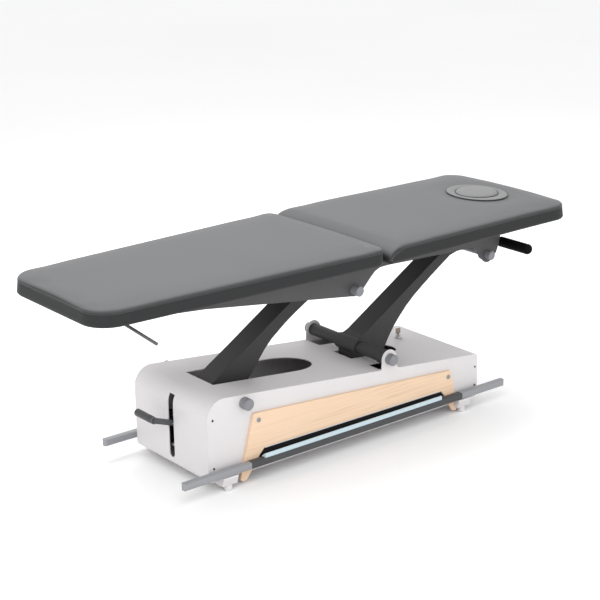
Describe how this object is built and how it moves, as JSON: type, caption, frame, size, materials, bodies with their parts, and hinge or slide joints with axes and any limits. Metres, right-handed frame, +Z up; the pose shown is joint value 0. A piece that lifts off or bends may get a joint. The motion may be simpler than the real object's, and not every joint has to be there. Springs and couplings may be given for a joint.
{
  "type": "physiotherapy table",
  "caption": "Height-adjustable treatment table with hinged grey pads, a face opening plug, parallel lift arms and a white floor casing with wood side panels.",
  "frame": {"origin": "on the floor below the centre of the bounding box", "axes": "+X along the table towards the head end with the face opening, +Z up, -Y the side nearest the camera"},
  "size_m": [2.04, 0.65, 0.7445],
  "materials": {
    "casing_white": "satin powder coat",
    "frame_grey": "satin powder coat",
    "bar_dark": "matt powder coat",
    "end_grey": "satin",
    "wood_light": "lacquered",
    "board_ply": "raw plywood",
    "pad_leather": "soft grain",
    "plug_leather": "soft grain",
    "steel_zinc": "zinc plated",
    "black_plastic": "matt",
    "grip_rubber": "matt",
    "wheel_rubber": "matt",
    "diffuser": "frosted",
    "lock_brass": "satin"
  },
  "bodies": {
    "base": {"base_wrap_panel": "casing_white", "base_side_plate_near": "casing_white", "base_side_plate_far": "casing_white", "base_floor_tray": "casing_white", "chassis_frame": "frame_grey", "control_box": "black_plastic", "wood_panel_near": "wood_light", "wood_panel_far": "wood_light", "light_rail_near": "black_plastic", "light_rail_far": "black_plastic", "foot_beam_left": "casing_white", "foot_beam_right": "casing_white", "foot_near_left": "casing_white", "foot_near_right": "casing_white", "foot_far_left": "casing_white", "foot_far_right": "casing_white", "pivot_shaft_lower_left": "end_grey", "pivot_shaft_lower_right": "end_grey", "actuator_housing": "black_plastic", "key_switch": "steel_zinc"},
    "bar_near": {"foot_bar_near": "bar_dark", "bar_end_near_left": "end_grey", "bar_end_near_right": "end_grey", "light_diffuser_near": "diffuser"},
    "bar_far": {"foot_bar_far": "bar_dark", "bar_end_far_left": "end_grey", "bar_end_far_right": "end_grey", "light_diffuser_far": "diffuser"},
    "arm_left": {"lift_arm_left": "frame_grey"},
    "arm_right": {"lift_arm_right": "frame_grey", "cross_tube": "frame_grey"},
    "upper_frame": {"frame_plate_near": "frame_grey", "frame_plate_far": "frame_grey", "frame_cross_left": "frame_grey", "frame_cross_right": "frame_grey", "pivot_shaft_upper_left": "end_grey", "pivot_shaft_upper_right": "end_grey"},
    "leg_section": {"leg_pad": "pad_leather", "leg_board": "board_ply", "leg_section_hinge": "frame_grey"},
    "head_section": {"head_pad": "pad_leather", "head_board": "board_ply", "head_section_hinge": "frame_grey"},
    "face_plug_body": {"face_plug": "plug_leather"},
    "actuator_ram": {"actuator_rod": "steel_zinc"},
    "leg_spring_body": {"leg_spring_cylinder": "black_plastic"},
    "leg_spring_ram": {"leg_spring_rod": "steel_zinc"},
    "head_spring_body": {"head_spring_cylinder": "black_plastic"},
    "head_spring_ram": {"head_spring_rod": "steel_zinc"},
    "leg_lever": {"leg_release_bar": "frame_grey"},
    "head_lever": {"head_release_bar": "frame_grey", "head_release_grip": "grip_rubber"},
    "pedal": {"pedal_arm": "frame_grey", "pedal_grip": "grip_rubber"},
    "carriage": {"castor_carriage": "steel_zinc"},
    "wheel_near_left": {"castor_wheel_near_left": "wheel_rubber"},
    "wheel_far_left": {"castor_wheel_far_left": "wheel_rubber"},
    "wheel_near_right": {"castor_wheel_near_right": "wheel_rubber"},
    "wheel_far_right": {"castor_wheel_far_right": "wheel_rubber"},
    "key": {"switch_key": "lock_brass"}
  },
  "joints": [
    {"name": "lift", "type": "hinge", "parent": "base", "child": "arm_left", "pos_m": [-0.437, 0, 0.283], "axis": [0, -1, 0], "range_deg": [-24, 33]},
    {"name": "frame_level", "type": "hinge", "parent": "arm_left", "child": "upper_frame", "pos_m": [0.0486, 0, 0.5715], "axis": [0, -1, 0], "range_deg": [-34, 25]},
    {"name": "arm_right_follow", "type": "hinge", "parent": "base", "child": "arm_right", "pos_m": [0.2056, 0, 0.283], "axis": [0, -1, 0], "range_deg": [-25, 34]},
    {"name": "actuator_stroke", "type": "slide", "parent": "base", "child": "actuator_ram", "axis": [0.9973, 0, 0.0737], "range_m": [-0.045, 0.0615]},
    {"name": "leg_tilt", "type": "hinge", "parent": "upper_frame", "child": "leg_section", "pos_m": [0.0795, 0, 0.69], "axis": [0, 1, 0], "range_deg": [0, 15]},
    {"name": "head_tilt", "type": "hinge", "parent": "upper_frame", "child": "head_section", "pos_m": [0.1475, 0, 0.69], "axis": [0, -1, 0], "range_deg": [0, 70]},
    {"name": "leg_spring_swing", "type": "hinge", "parent": "upper_frame", "child": "leg_spring_body", "pos_m": [-0.6, 0.1, 0.622], "axis": [0, -1, 0], "range_deg": [-1, 18]},
    {"name": "leg_spring_stroke", "type": "slide", "parent": "leg_spring_body", "child": "leg_spring_ram", "axis": [0.995, 0, 0.0995], "range_m": [-0.001, 0.029]},
    {"name": "head_spring_swing", "type": "hinge", "parent": "upper_frame", "child": "head_spring_body", "pos_m": [0.65, 0.1, 0.6], "axis": [0, -1, 0], "range_deg": [-16, 1]},
    {"name": "head_spring_stroke", "type": "slide", "parent": "head_spring_body", "child": "head_spring_ram", "axis": [-0.9912, 0, 0.1322], "range_m": [-0.001, 0.0735]},
    {"name": "face_plug_lift", "type": "slide", "parent": "head_section", "child": "face_plug_body", "axis": [0, 0, 1], "range_m": [0, 0.09]},
    {"name": "leg_release", "type": "hinge", "parent": "leg_section", "child": "leg_lever", "pos_m": [-0.8, 0, 0.66], "axis": [0, 1, 0], "range_deg": [0, 8], "stiffness_Nm_per_rad": 6, "springref_deg": -5.73},
    {"name": "head_release", "type": "hinge", "parent": "head_section", "child": "head_lever", "pos_m": [0.745, 0, 0.655], "axis": [0, -1, 0], "range_deg": [0, 10], "stiffness_Nm_per_rad": 12, "springref_deg": -5.73},
    {"name": "bar_near_rock", "type": "hinge", "parent": "base", "child": "bar_near", "pos_m": [0, -0.2396, 0.067], "axis": [1, 0, 0], "range_deg": [-3, 3], "stiffness_Nm_per_rad": 60},
    {"name": "bar_far_rock", "type": "hinge", "parent": "base", "child": "bar_far", "pos_m": [0, 0.2396, 0.067], "axis": [1, 0, 0], "range_deg": [-3, 3], "stiffness_Nm_per_rad": 60},
    {"name": "pedal_turn", "type": "hinge", "parent": "base", "child": "pedal", "pos_m": [-0.5, 0, 0.141], "axis": [0, -1, 0], "range_deg": [-18, 24]},
    {"name": "castor_drop", "type": "slide", "parent": "base", "child": "carriage", "axis": [0, 0, -1], "range_m": [-0.0095, 0.0125]},
    {"name": "castor_near_left_roll", "type": "hinge", "parent": "carriage", "child": "wheel_near_left", "pos_m": [-0.455, -0.12, 0.0335], "axis": [0, 1, 0], "continuous": true},
    {"name": "castor_far_left_roll", "type": "hinge", "parent": "carriage", "child": "wheel_far_left", "pos_m": [-0.455, 0.12, 0.0335], "axis": [0, 1, 0], "continuous": true},
    {"name": "castor_near_right_roll", "type": "hinge", "parent": "carriage", "child": "wheel_near_right", "pos_m": [0.472, -0.12, 0.0335], "axis": [0, 1, 0], "continuous": true},
    {"name": "castor_far_right_roll", "type": "hinge", "parent": "carriage", "child": "wheel_far_right", "pos_m": [0.472, 0.12, 0.0335], "axis": [0, 1, 0], "continuous": true},
    {"name": "key_turn", "type": "hinge", "parent": "base", "child": "key", "pos_m": [0.5115, 0.079, 0.21135], "axis": [0.1041, 0, 0.9946], "range_deg": [0, 90]}
  ],
  "couplings": [
    {"joint": "frame_level", "follows": "lift", "ratio": -1},
    {"joint": "arm_right_follow", "follows": "lift", "ratio": 1},
    {"joint": "actuator_stroke", "follows": "lift", "m_per_rad": 0.1053},
    {"joint": "leg_spring_swing", "follows": "leg_tilt", "ratio": 1.1618},
    {"joint": "leg_spring_stroke", "follows": "leg_tilt", "m_per_rad": 0.1074},
    {"joint": "head_spring_swing", "follows": "head_tilt", "ratio": -0.2215},
    {"joint": "head_spring_stroke", "follows": "head_tilt", "m_per_rad": 0.0591},
    {"joint": "castor_drop", "follows": "pedal_turn", "m_per_rad": 0.029}
  ]
}
